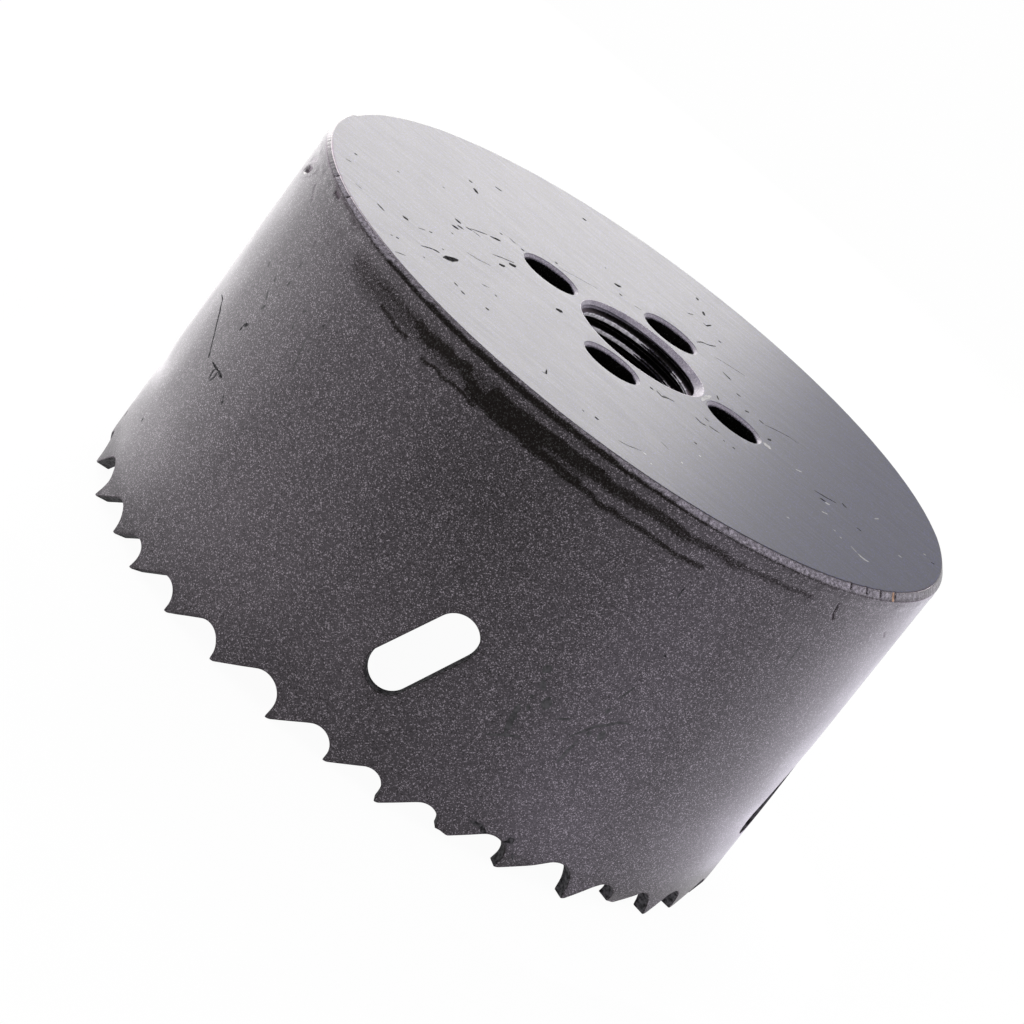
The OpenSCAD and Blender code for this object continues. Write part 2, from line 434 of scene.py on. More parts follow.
# Scratches and chips on the cap's face: half-width, then the x and y of the places along each
FACE_SCRATCHES = (
    (0.2, (-35.3, -12.4), (-34.9, -12.6)),
    (0.07, (-34.9, -16.6), (-34.2, -16)),
    (0.14, (-31.6, -7), (-31.2, -7.1)),
    (0.14, (-28.3, -22.4), (-27, -23)),
    (0.32, (-25.9, -19.7), (-25, -20)),
    (0.13, (-27.9, -0.1), (-27.5, -0.2)),
    (0.2, (-27.7, 9.4), (-27.1, 9.2)),
    (0.24, (-26.4, 8), (-25.6, 7)),
    (0.18, (-25.8, 14.4), (-24.8, 14.7)),
    (0.28, (-23.5, -7.3), (-22.5, -7.5)),
    (0.25, (-22.8, -10.3), (-21.9, -9.8)),
    (0.2, (-22.6, -8.9), (-21.7, -8.6)),
    (0.18, (-22, -7.3), (-21.2, -6.7)),
    (0.08, (-21.6, -6.6), (-20.1, -4)),
    (0.06, (-21.2, -6.7), (-20.1, -6.6)),
    (0.2, (-19.8, -3.9), (-18.8, -2.5)),
    (0.12, (-19.9, -0.1), (-19.4, -0.1)),
    (0.07, (-18.9, 0.8), (-17.7, 0.4)),
    (0.2, (-17.1, 0.4), (-16.5, 0.3)),
    (0.16, (-24.1, -28.4), (-23.8, -28.5)),
    (0.16, (-23.6, -27.8), (-23.2, -27.9)),
    (0.05, (-23.8, -19.8), (-23.2, -18.6)),
    (0.1, (-22.9, -18.2), (-22.6, -17.6)),
    (0.09, (-21.6, -24.5), (-20.8, -22.7), (-20, -21.9)),
    (0.16, (-20.7, -22.6), (-20, -21.9)),
    (0.1, (-20.4, -20.2), (-20.1, -20)),
    (0.42, (-19.3, -22.7), (-18.9, -21.4), (-18.4, -19.4)),
    (0.07, (-17.7, -9.2), (-16.7, -7.6), (-15.6, -6.1)),
    (0.25, (-16.1, -10.7), (-15.7, -9.5)),
    (0.3, (-15.7, -8), (-15.2, -6.6)),
    (0.04, (-19, -15.1), (-17.6, -14.4), (-16.3, -13.1)),
    (0.12, (-16.1, -27.3), (-15.4, -27.7)),
    (0.14, (-14.9, -28.1), (-14.2, -28.5)),
    (0.17, (-12.9, -21.2), (-12.6, -21)),
    (0.18, (-11.9, -27), (-11.5, -27.5)),
    (0.05, (-14.7, -21.2), (-13.9, -20.3)),
    (0.05, (-22.1, -32.7), (-21, -31)),
    (0.05, (-31.5, -21.7), (-30.4, -21.9)),
    (0.14, (-20.2, -27.3), (-20, -27.1)),
    (0.12, (-21.9, -12.9), (-21.6, -12.7)),
    (0.25, (-18, 28.4), (-17.4, 28.9)),
    (0.2, (-14, 5.1), (-13.5, 5.2)),
    (0.03, (-13.2, 4.2), (-11, 6), (-8.7, 7.8)),
    (0.12, (-10.9, 17.1), (-10.7, 17.3)),
    (0.25, (-8.5, 14), (-7.8, 15.1)),
    (0.17, (-7.2, 12.2), (-6.7, 12)),
    (0.33, (-8.4, -10.3), (-8, -9.1)),
    (0.07, (-2.7, -32.7), (-2.2, -32.2), (-2.6, -30.8)),
    (0.06, (-5.1, 12.1), (-4.1, 12.7)),
    (0.2, (-2.6, 33.4), (-2.3, 32.6)),
    (0.08, (-1.4, 24.8), (-0.8, 26)),
    (0.16, (-0.7, 30.1), (-0.2, 28.9)),
    (0.1, (0.5, 25.9), (1.1, 25.7), (1.3, 27.5)),
    (0.08, (2.3, 17), (2.6, 18.5), (3.4, 19.6), (3.9, 21.2)),
    (0.2, (3.5, 23.7), (3.7, 24.1)),
    (0.05, (4.9, 16.9), (5.9, 17.6), (8.8, 19)),
    (0.12, (6.9, 14), (8.4, 13.4)),
    (0.09, (9, 4.4), (9.6, 3.2)),
    (0.14, (9.9, 10.3), (10.6, 10.5)),
    (0.12, (12.2, 6.6), (12.6, 7.5)),
    (0.2, (4.4, -10.6), (5, -10.8)),
    (0.12, (5.1, -10.1), (6, -10.6), (6.7, -9.4)),
    (0.07, (6, -10), (7.3, -9)),
    (0.16, (3.2, -34.3), (3.4, -34.1)),
    (0.24, (4.5, -33.4), (5, -33)),
    (0.12, (9.9, -8.5), (10.9, -8.9), (11.4, -8.4)),
    (0.12, (10.5, -6.3), (11.2, -6.4)),
    (0.12, (11.5, -7.8), (12.2, -7.7), (12.9, -7.3)),
    (0.2, (12.3, -16.8), (12.6, -16.5)),
    (0.17, (13.8, -8.8), (14, -8.6)),
    (0.18, (15, -8.3), (15.3, -8.7)),
    (0.04, (7.9, -34.6), (9, -33.7), (10.2, -32)),
    (0.05, (10.3, -24.7), (11.6, -25.2)),
    (0.16, (13.9, 7.6), (14.7, 7.4)),
    (0.06, (14.7, 7.4), (16, 8.8), (17.5, 10.1), (18.8, 10.4)),
    (0.15, (16.4, 3.2), (16.6, 4.2)),
    (0.12, (23.9, -1.1), (25.3, -0.3), (26.6, 0.7)),
    (0.2, (25, -2.1), (25.8, -1.7)),
    (0.16, (26.9, 2.2), (27.7, 1.7)),
    (0.14, (30, -2), (30.7, -1.9)),
    (0.12, (38, 6.5), (39, 6.9)),
)
# Pale flecks on the cap's face, in the same form
FACE_FLECKS = (
    (0.12, (20.9, 0.9), (21.6, 1.8)),
    (0.15, (25.8, -2.2), (26.3, -1.5)),
    (0.1, (26.3, -6), (27, -5.2)),
    (0.09, (24.5, -16.7), (24.9, -16.3)),
    (0.08, (28.6, -8.7), (29, -8.6)),
    (0.08, (29.6, -9.4), (30, -9.3)),
    (0.06, (31.1, -9.4), (32.2, -10)),
    (0.2, (32.2, -10), (33.1, -10.2), (33.8, -9.7)),
    (0.1, (35.1, 0), (35.7, 0.2)),
    (0.08, (30.5, 5.8), (30.8, 7)),
    (0.1, (36.8, 7.2), (37.2, 7.5)),
    (0.12, (10.4, -32.2), (10.8, -32)),
    (0.08, (11.8, -33.6), (12, -33.4)),
    (0.12, (13.4, -26), (13.6, -25.8)),
    (0.12, (13.8, -19.6), (14, -19.4)),
    (0.45, (16.7, 0.6), (17.2, 1.6)),
    (0.2, (8.75, 2.6), (8.62, 0.9), (8.6, -0.5), (8.7, -1.6)),
)


def outline(points, half):
    """The edge of a mark: widest in the middle and drawn to a point at both ends."""
    line = resample(points, max(half, 0.2))
    if len(line) < 4:
        line = resample(points, math.dist(points[0], points[-1]) / 3)
    along = np.gradient(line, axis=0)
    across = unit(np.stack([-along[:, 1], along[:, 0]], 1))
    width = half * np.sin(np.linspace(0, math.pi, len(line))) ** 0.5 + 0.03
    width = width * random.uniform(0.8, 1.3, len(line))
    left, right = line + across * width[:, None], line - across * width[:, None]
    return np.concatenate([left, right[-2:0:-1]])


def wall_marks(strokes):
    """Outlines on the laid-out wall of strokes that are given by angle and height."""
    for half, *places in strokes:
        yield outline([(START + (arc(a) - START) % ROUND, z) for a, z in places], half)


def weld(s, z):
    """How sunken and how dark the weld band is here, with edges that wander. The dark is partly
    the weld's own and partly painted shade where the sunken band faces down.
    """
    wander = 0.09 * ripple(s, 3, (20, 70)) + 0.05 * ripple(s, 4, (60, 150))
    wander = wander * np.clip((43.4 - z) / 0.6, 0.25, 1)
    return stroke_field(s, z + wander, WELD_STROKES + FAR_STROKES)


def darkening_below_weld(s, z):
    """The faint darkening of the paint below the weld's darkest stretch."""
    away = (s - arc(-87) + ROUND / 2) % ROUND - ROUND / 2
    return 0.34 * np.exp(-((away / arc(17)) ** 2)) * clamp((z - 10) / 22)


def pit(s, z):
    """How deep the pit is here, from 1 at its middle to a small raised rim."""
    angle, height, wide, tall = PIT
    away = (s - arc(angle) + ROUND / 2) % ROUND - ROUND / 2
    rise = z - height - 0.37 * away
    q = (away / wide) ** 2 + (rise / tall) ** 2
    return np.exp(-q) - 0.45 * np.exp(-((np.sqrt(q) - 1.7) ** 2) * 3)


def relief(s, z):
    """How far the outside stands out of a true cylinder."""
    near_weld = clamp(z - 38) * clamp((HEIGHT - BEVEL_H - z) / 0.5)
    bead = 0.035 * (1 + ripple(s, 5, (20, 90))) * np.exp(-(((z - 42.8) / 0.35) ** 2))
    out = near_weld * (bead - 0.14 * weld(s, z) - 0.4 * pit(s, z))
    return np.minimum(out + 0.006 * ripple(s, 6, (5, 30)) * (z > 4), 0.06)


def wall_place(s, z, depth):
    """Places in mm of points on or in the wall."""
    s, z, depth = np.broadcast_arrays(np.asarray(s, float), z, depth)
    way, bent = lean(s, z)
    r = OUTER_R - depth + SET_W * way * bent
    r = r + relief(s, z) * (1 - depth / WALL_T)
    a = s / OUTER_R
    return np.stack([r * np.cos(a), r * np.sin(a), z], -1)


def wall_frame(s, z, depth):
    """Places with the outward normal and the two directions along the wall."""
    h = 0.02
    along = wall_place(s + h, z, depth) - wall_place(s - h, z, depth)
    up = wall_place(s, z + h, depth) - wall_place(s, z - h, depth)
    normal = unit(np.cross(along, up))
    return wall_place(s, z, depth), normal, along / (2 * h), up / (2 * h)


# Pieces


class Sheet:
    """Gathers one piece: places, normals, faces, and how black and how pale each place is. The
    black holds painted shade and the pale painted highlights, each besides the thing's own marks.
    """

    def __init__(self):
        self.places, self.normals, self.black, self.highlight_and_bare = [], [], [], []
        self.faces, self.slots = [], []
        self.count = 0

    def add(self, places, normals, faces, black=0, highlight_and_bare=0, slots=None):
        places = np.asarray(places)
        shape = places.shape[:-1]
        self.places.append(places.reshape(-1, 3))
        self.normals.append(np.asarray(normals).reshape(-1, 3))
        self.black.append(np.broadcast_to(black, shape).ravel())
        self.highlight_and_bare.append(np.broadcast_to(highlight_and_bare, shape).ravel())
        self.faces += [tuple(i + self.count for i in f) for f in faces]
        self.slots += [0] * len(faces) if slots is None else list(slots)
        self.count += len(self.places[-1])

    def add_grid(
        self, places, normals=None, black=0, highlight_and_bare=0, closed=False, flip=False, slots=None
    ):
        """Quads over rows and columns of places. Their normals come from the grid if not given."""
        rows, cols = places.shape[:2]
        faces = []
        for r in range(rows - 1):
            for c in range(cols if closed else cols - 1):
                d = (c + 1) % cols
                f = (r * cols + c, r * cols + d, (r + 1) * cols + d, (r + 1) * cols + c)
                faces.append(f[::-1] if flip else f)
        if normals is None:
            normals = grid_normals(places, closed, flip)
        self.add(places, normals, faces, black, highlight_and_bare, slots)


def grid_normals(places, closed, flip):
    """Unit normals of a grid of places."""
    up = np.gradient(places, axis=0)
    if closed:
        along = np.roll(places, -1, 1) - np.roll(places, 1, 1)
    else:
        along = np.gradient(places, axis=1)
    normals = np.cross(along, up)
    normals /= np.linalg.norm(normals, axis=-1)[..., None] + 1e-12
    return -normals if flip else normals


def build_piece(name, sheet, materials):
    """Turns a sheet into a smooth-shaded object, with the doubled vertices merged."""
    mesh = bpy.data.meshes.new(name)
    places = np.concatenate(sheet.places) / 1000
    mesh.from_pydata(places.tolist(), [], sheet.faces)
    kept = mesh.attributes.new("kept_normal", "FLOAT_VECTOR", "POINT")
    kept.data.foreach_set("vector", np.concatenate(sheet.normals).astype(np.float32).ravel())
    for field, values in (("black", sheet.black), ("highlight_and_bare", sheet.highlight_and_bare)):
        values = np.concatenate(values).astype(np.float32)
        mesh.attributes.new(field, "FLOAT", "POINT").data.foreach_set("value", values)
    mesh.polygons.foreach_set("material_index", np.array(sheet.slots, np.int32))
    bm = bmesh.new()
    bm.from_mesh(mesh)
    bmesh.ops.remove_doubles(bm, verts=bm.verts, dist=2e-7)
    bm.to_mesh(mesh)
    bm.free()
    mesh.polygons.foreach_set("use_smooth", np.ones(len(mesh.polygons), bool))
    normals = np.zeros(len(mesh.vertices) * 3, np.float32)
    mesh.attributes["kept_normal"].data.foreach_get("vector", normals)
    mesh.attributes.remove(mesh.attributes["kept_normal"])
    mesh.normals_split_custom_set_from_vertices(normals.reshape(-1, 3).tolist())
    for material in materials:
        mesh.materials.append(material)
    obj = bpy.data.objects.new(name, mesh)
    bpy.context.scene.collection.objects.link(obj)
    return obj


def turns_left(loop):
    """Whether a closed outline runs anticlockwise."""
    after = np.roll(loop, -1, 0)
    return (loop[:, 0] * after[:, 1] - loop[:, 1] * after[:, 0]).sum() > 0


def fill(border, holes, marks, loose):
    """Triangles inside the border and outside the holes. A mark is an outline with the number of
    its material. Returns points, faces and each face's material."""
    loops = [border] + list(holes) + [loop for loop, _ in marks]
    points = np.concatenate(loops + [loose])
    ids, first = [], 0
    for loop in loops:
        ring = list(range(first, first + len(loop)))
        ids.append(ring if turns_left(loop) else ring[::-1])
        first += len(loop)
    out = delaunay_2d_cdt([Vector(p) for p in points.tolist()], [], ids, 1, 1e-6)
    faces, marked = [], []
    for face, inside in zip(out[2], out[5]):
        if 0 not in inside or any(1 <= i <= len(holes) for i in inside):
            continue
        faces.append(tuple(face))
        over = [i for i in inside if i > len(holes)]
        marked.append(marks[over[0] - len(holes) - 1][1] if over else 0)
    return np.array([tuple(v) for v in out[0]]), faces, marked


def loose_points(lines, s_span, z_span, step):
    """A staggered grid of points that keeps away from the given lines."""
    rows = []
    for k, z in enumerate(np.arange(z_span[0], z_span[1], step)):
        s = np.arange(s_span[0] + step * (0.5 if k % 2 else 1), s_span[1] - step / 2, step)
        rows.append(np.stack([s, np.full_like(s, z)], 1))
    points = np.concatenate(rows)
    edges = np.concatenate(lines)
    keep = np.ones(len(points), bool)
    for part in np.array_split(np.arange(len(points)), max(1, len(points) // 500)):
        d = points[part][:, None] - edges[None]
        keep[part] = (d**2).sum(-1).min(1) > (0.45 * step) ** 2
    return points[keep]


def edge_rows(sheet, line, closed):
    """The rounded corners and the cut wall along one edge, from outside to inside."""
    out = outward(line, closed)
    places, normals, black = [], [], []
    outer = [(p, 1) for p in np.linspace(0, math.pi / 2, 4)]
    inner = [(p, -1) for p in np.linspace(math.pi / 2, 0, 4)]
    for phi, side in outer + inner:
        at = line - out * EDGE_R * (1 - math.sin(phi))
        from_face = EDGE_R * (1 - math.cos(phi))
        depth = from_face if side > 0 else WALL_T - from_face
        place, normal, along, up = wall_frame(at[:, 0], at[:, 1], depth)
        edge = unit(along * out[:, :1] + up * out[:, 1:])
        places.append(place)
        normals.append(side * normal * math.cos(phi) + edge * math.sin(phi))
        # Painted shade on the rounded edge, deepening as it turns onto the cut
        black.append(np.full(len(line), EDGE_SHADE + (0.85 - EDGE_SHADE) * math.sin(phi)))
    steps = len(line) if closed else len(line) - 1
    slots = np.repeat([PAINT, PAINT, CUT, CUT, CUT, PAINT, PAINT], steps)
    places, normals, black = np.array(places), np.array(normals), np.array(black)
    sheet.add_grid(places, normals, black, closed=closed, flip=True, slots=slots)


def wall_face(sheet, lines, depth, step, marks=()):
    """The outside (depth 0) or the inside of the wall up to where the even grid takes over."""
    toothed, slots = lines[0], lines[1:]
    border = toothed - outward(toothed, False) * EDGE_R
    heights = np.arange(math.ceil(border[0, 1]) + 1, GRID_TOP - 0.5, 1.0)
    right = np.stack([np.full_like(heights, START + ROUND), heights], 1)
    left = np.stack([np.full_like(heights, START), heights[::-1]], 1)
    columns = np.append(COLUMNS, START + ROUND)[::-1]
    top = np.stack([columns, np.full_like(columns, GRID_TOP)], 1)
    border = np.concatenate([border, right, top, left])
    holes = [line - outward(line, True) * EDGE_R for line in slots]
    span = (START, START + ROUND)
    fixed = [border] + holes + [loop for loop, _ in marks]
    lower = loose_points(fixed, span, (0.4, 6), step * 0.55)
    upper = loose_points(fixed + [lower], span, (6, GRID_TOP - 0.3), step)
    points, faces, marked = fill(border, holes, marks, np.concatenate([lower, upper]))
    place, normal, _, _ = wall_frame(points[:, 0], points[:, 1], depth)
    if depth:
        faces = [f[::-1] for f in faces]
        normal = -normal
    tree = kdtree.KDTree(sum(len(line) for line in lines))
    for k, (s, z) in enumerate(np.concatenate([border[: len(toothed)]] + holes)):
        tree.insert((s, z, 0), k)
    tree.balance()
    away = np.array([tree.find((s, z, 0))[2] for s, z in points])
    # Painted shade along the cut edges; on the outside, also the darkening below the weld
    black = np.maximum(EDGE_SHADE * clamp(1 - away / EDGE_FADE), 0 if depth else darkening_below_weld(*points.T))
    sheet.add(place, normal, faces, black, slots=marked)


def rim_rows(sheet):
    """The top of the shell: wall, bevel, the fine groove inside it, and the flat end."""
    s = COLUMNS
    wall_z = np.concatenate([np.arange(GRID_TOP, 38.2, 0.4), np.arange(38.3, 43.36, 0.17)])
    places = [wall_place(s, z, 0) for z in wall_z]
    # Painted shade of the weld band on the rim's wall, with the darkening below the weld
    black = [np.maximum(weld(s, z), darkening_below_weld(s, z)) for z in wall_z]
    highlight_and_bare = [np.zeros_like(s) for z in wall_z]
    bevel_z = HEIGHT - BEVEL_H
    profile = [
        (OUTER_R, wall_z[-1]),
        (OUTER_R, bevel_z),
        (OUTER_R - BEVEL_W, HEIGHT),
        (OUTER_R - BEVEL_W - 0.1, HEIGHT - 0.07),
        (OUTER_R - BEVEL_W - 0.22, HEIGHT),
        (INNER_R, HEIGHT),
    ]
    profile = thin_out(soften(profile, 0.01, 0.035), 0.2, 4)
    a = s / OUTER_R
    angle = (np.degrees(a) + 180) % 360 - 180
    share = np.interp(angle, *zip(*BEVEL_SHARE))
    shine = np.interp(angle, *zip(*BEVEL_SHINE))
    near = clamp((angle + 165) / 8) * clamp((4 - angle) / 8)
    joint = np.exp(-(((angle + 168) / 22) ** 2))
    nick = sum(np.exp(-(((angle - at) / 0.3) ** 2)) for at in BEVEL_NICKS)
    speck = sum(np.exp(-(((angle - at) / 0.25) ** 2)) for at in BEVEL_SPECKS)
    for k, (r, z) in enumerate(profile[1:]):
        inward, drop = OUTER_R - r, HEIGHT - z
        crease = near * math.exp(-(((drop - BEVEL_H) / 0.09) ** 2))
        on_bevel = clamp((z - bevel_z + 0.1) / 0.3) * (inward < BEVEL_W + 0.3)
        rough = on_bevel * (0.014 * ripple(s, 11, (80, 380), 0.2) + 0.012 * ripple(s, 12, (9, 50)))
        edge_in = np.interp(inward, (0, BEVEL_W, 1.5), (0, 0, 1))
        beyond = inward - BEVEL_W * (1 - share) * (1 - edge_in)
        reach = np.where(inward < BEVEL_W, inward * share, beyond)
        low = BEVEL_H * share + (drop - BEVEL_H) * (0.94 - BEVEL_H * share) / (0.94 - BEVEL_H)
        drop = np.where(drop < BEVEL_H, drop * share, low)
        if inward > BEVEL_W + 0.03:
            drop = drop * near
        rr = OUTER_R - reach + rough - 0.1 * on_bevel * nick
        places.append(np.stack([rr * np.cos(a), rr * np.sin(a), HEIGHT - drop], -1))
        groove = near * math.exp(-(((inward - BEVEL_W - 0.12) / 0.1) ** 2))
        seam = joint * clamp((inward - 1.2) / 0.3)
        lit = clamp(inward / 0.12) * clamp((BEVEL_W - inward) / 0.06)
        # The weld band's painted shade reaches onto the bevel and dims its painted highlight
        under = weld(s, HEIGHT - drop) if inward < BEVEL_W else np.zeros_like(s)
        chipped = nick * (0.1 < inward < 1)
        dark = [under, 0.8 * groove, 0.3 * seam, 0.9 * chipped, 0.6 * crease]
        black.append(np.maximum.reduce(dark))
        grain = ripple(s, 60 + k, (90, 420), 0)
        # Painted highlight along the bevel, by angle, besides the real pale specks
        pale = np.maximum(shine * (1 + 0.6 * grain), speck * (inward > 0.25))
        highlight_and_bare.append(lit * clamp(pale) * (1 - under))
    flat = np.array([math.hypot(*p[0, :2]) < OUTER_R - BEVEL_W - 0.1 for p in places[1:]])
    slots = np.tile(np.where(flat, FACE, PAINT)[:, None], len(s))
    brown = np.abs(angle - BROWN_GRAIN) < 0.4
    top = slice(-len(profile) + 5, None)
    slots[top, brown] = np.where(flat[top], FACE, BROWN)[:, None]
    black, highlight_and_bare = np.array(black), np.array(highlight_and_bare)
    sheet.add_grid(np.array(places), black=black, highlight_and_bare=highlight_and_bare, closed=True, slots=slots.ravel())
    inside = np.array([wall_place(s, z, WALL_T) for z in (HEIGHT - APART, 38.0, GRID_TOP)])
    sheet.add_grid(inside, unit(-inside * (1, 1, 0)), closed=True)


def make_shell(materials):
    """The toothed shell, with its marks and the flat end of its rim."""
    lines = [toothed_line()] + [slot_line(a if a > 165 else a + 360) for a in SLOT_ANGLES]
    marks = [(loop, SCRATCH) for loop in wall_marks(WALL_SCRATCHES)]
    marks += [(loop, RUB) for loop in wall_marks(WALL_RUBS)]
    sheet = Sheet()
    wall_face(sheet, lines, 0, 1.1, marks)
    wall_face(sheet, lines, WALL_T, 1.8)
    for k, line in enumerate(lines):
        edge_rows(sheet, line, k > 0)
    rim_rows(sheet)
    return build_piece("shell_body", sheet, materials)


def circle(r, count, x=0.0, y=0.0):
    """Points evenly round a circle."""
    a = 2 * math.pi * np.arange(count) / count
    return np.stack([x + r * np.cos(a), y + r * np.sin(a)], 1)


def revolve(sheet, profile, count, x=0.0, y=0.0):
    """The surface of a hole: its profile runs inwards from the mouth, then down into painted
    shade.
    Above a lit band it is pale as a painted highlight, below it black.
    """
    a = 2 * math.pi * np.arange(count) / count
    places = [
        np.stack([x + r * np.cos(a), y + r * np.sin(a), np.full_like(a, z)], -1)
        for r, z in profile
    ]
    depth = HEIGHT - np.array(profile)[:, 1:]
    # Painted light: the lit band reaches deeper on one side; below it the hole is painted black as
    # shade
    lit = PIN_SINK + 0.15 * clamp(np.cos(a - math.radians(160))) ** 2
    lit = lit + 0.04 * ripple(a * OUTER_R, 31, (3, 12))
    black = clamp((depth - lit) / 0.12)
    highlight_and_bare = 0.85 * clamp(depth / 0.05) * (1 - black)
    sheet.add_grid(np.array(places), black=black, highlight_and_bare=highlight_and_bare, closed=True)


def threaded_bore(sheet, count=180):
    """The arbor hole: a countersink, the thread's turns, and the lower countersink. The
    countersinks and the crests where the turns catch the light are painted highlights, the roots
    painted shade.
    """
    a = 2 * math.pi * np.arange(count) / count
    low = HEIGHT - CAP_T
    zs = np.concatenate([[HEIGHT, HEIGHT], np.arange(HEIGHT - 0.03, low + 0.02, -0.055), [low]])
    places, black, highlight_and_bare, crest_highlight = [], [], [], []
    # Where the turns catch the light: the crests' painted highlight is strongest on these sides
    left = np.exp(-(((np.degrees(a) - 152) / 56) ** 4))
    right = np.exp(-(((np.degrees(a) - 40) / 22) ** 2))
    spots = 0.85 + 0.15 * ripple(a * OUTER_R, 41, (4, 30))
    for k, z in enumerate(zs):
        turn = (z / THREAD_PITCH - a / (2 * math.pi)) % 1
        flank = clamp((np.abs(turn - 0.5) - 0.07) / 0.3)
        below = k > 0
        in_sink = clamp((BORE_SINK - (HEIGHT - z)) / 0.08) * below
        edge = np.exp(-(((np.abs(turn - 0.5) - 0.4) / 0.07) ** 2))
        crest = np.maximum(edge * np.minimum(0.2 + left + 0.7 * right, 1), np.floor(flank) * left)
        crest = crest * (1 - in_sink) * below
        crest_highlight.append(np.where(crest > 0.45, CREST_HIGHLIGHT, PAINT))
        mouth = 0.5 * (k == 1)
        # Painted shade: the thread's roots go black; the countersinks and crests are pale as
        # painted highlights
        black.append(np.maximum((1 - crest) * (1 - in_sink) * below, mouth))
        highlight_and_bare.append(in_sink * spots + 0.9 * crest)
        thread = THREAD_R - (THREAD_R - BORE_R) * flank
        sink = BORE_R + BORE_SINK - min(HEIGHT - z, z - low)
        r = np.maximum(thread, sink)
        if k == 0:
            r = np.full_like(a, BORE_R + BORE_SINK + 0.12)
        if k == len(zs) - 1:
            r = np.full_like(a, BORE_R + BORE_SINK + 0.05)
        places.append(np.stack([r * np.cos(a), r * np.sin(a), np.full_like(a, z)], -1))
    slots = np.array(crest_highlight[:-1]).ravel()
    black, highlight_and_bare = np.array(black), np.array(highlight_and_bare)
    sheet.add_grid(np.array(places), black=black, highlight_and_bare=highlight_and_bare, closed=True, slots=slots)


def make_cap(materials):
    """The end cap: both faces, the four pin holes, the bore and the edge."""
    sheet = Sheet()
    low = HEIGHT - CAP_T
    pins = [
        (PIN_CIRCLE_R * math.cos(a), PIN_CIRCLE_R * math.sin(a))
        for a in np.arange(4) * math.pi / 2
    ]
    mouth = PIN_R + PIN_SINK + 0.1
    foot = PIN_R + 0.1
    scratches = [(outline(places, half), SCRATCH) for half, *places in FACE_SCRATCHES]
    flecks = [(outline(places, half), FLECK) for half, *places in FACE_FLECKS]
    for side, z, bore_r, pin_r, marks in (
        (1, HEIGHT, BORE_R + BORE_SINK + 0.12, mouth, scratches + flecks),
        (-1, low, BORE_R + BORE_SINK + 0.05, foot, []),
    ):
        border = circle(INNER_R, CAP_STEPS)
        holes = [circle(bore_r, 180)] + [circle(pin_r, PIN_STEPS, x, y) for x, y in pins]
        fixed = [border] + holes + [loop for loop, _ in marks]
        loose = loose_points(fixed, (-39, 39), (-39, 39), 3)
        points, faces, marked = fill(border, holes, marks, loose)
        places = np.column_stack([points, np.full(len(points), z)])
        normals = np.tile((0, 0, side), (len(points), 1))
        faces = faces if side > 0 else [f[::-1] for f in faces]
        sheet.add(places, normals, faces, slots=marked)
    profile = [
        (mouth, HEIGHT),
        (PIN_R + PIN_SINK, HEIGHT),
        (PIN_R, HEIGHT - PIN_SINK),
        (PIN_R, low),
        (foot, low),
    ]
    profile = thin_out(soften(profile, 0.01, 0.025), 0.3, 4)
    for x, y in pins:
        revolve(sheet, profile, PIN_STEPS, x, y)
    threaded_bore(sheet)
    side = circle(INNER_R, CAP_STEPS)
    levels = (low + APART, HEIGHT - APART)
    ring = np.array([np.column_stack([side, np.full(CAP_STEPS, z)]) for z in levels])
    normals = ring * (1, 1, 0) / INNER_R
    sheet.add_grid(ring, normals, closed=True)
    return build_piece("cap_body", sheet, materials)


# Materials


def new_material(name):
    """A material with its nodes and links."""
    material = bpy.data.materials.new(name)
    material.use_nodes = True
    return material, material.node_tree.nodes, material.node_tree.links


def put(node, values):
    """Sets sockets of a node to fixed values, by name or number."""
    for name, value in values.items():
        node.inputs[name].default_value = value


def blend(nodes, links, factor, first, second):
    """Mixes two colours, each a socket or a fixed value."""
    mix = nodes.new("ShaderNodeMix")
    mix.data_type = "RGBA"
    links.new(factor, mix.inputs["Factor"])
    for name, value in (("A", first), ("B", second)):
        if isinstance(value, tuple):
            mix.inputs[name].default_value = value
        else:
            links.new(value, mix.inputs[name])
    return mix.outputs["Result"]


def arithmetic(nodes, links, operation, first, second):
    """A sum on two numbers, each a socket or a fixed value, kept between 0 and 1 for a share."""
    node = nodes.new("ShaderNodeMath")
    node.operation = operation
    node.use_clamp = operation == "DIVIDE"
    for k, value in enumerate((first, second)):
        if isinstance(value, float):
            node.inputs[k].default_value = value
        else:
            links.new(value, node.inputs[k])
    return node.outputs[0]


def field(nodes, name):
    """The socket that reads one of the values kept at each place."""
    node = nodes.new("ShaderNodeAttribute")
    node.attribute_name = name
    return node.outputs["Fac"]


def stops(ramp, *colours):
    """Sets a ramp's stops: a place from 0 to 1 and a grey or a colour for each."""
    while len(ramp.color_ramp.elements) < len(colours):
        ramp.color_ramp.elements.new(0.5)
    for stop, (at, colour) in zip(ramp.color_ramp.elements, colours):
        stop.position = at
        stop.color = colour


def grey(level, tint=0.0):
    """A grey, or with some tint a lilac grey."""
    return (level, level * (1 - tint), level * (1 + tint), 1)


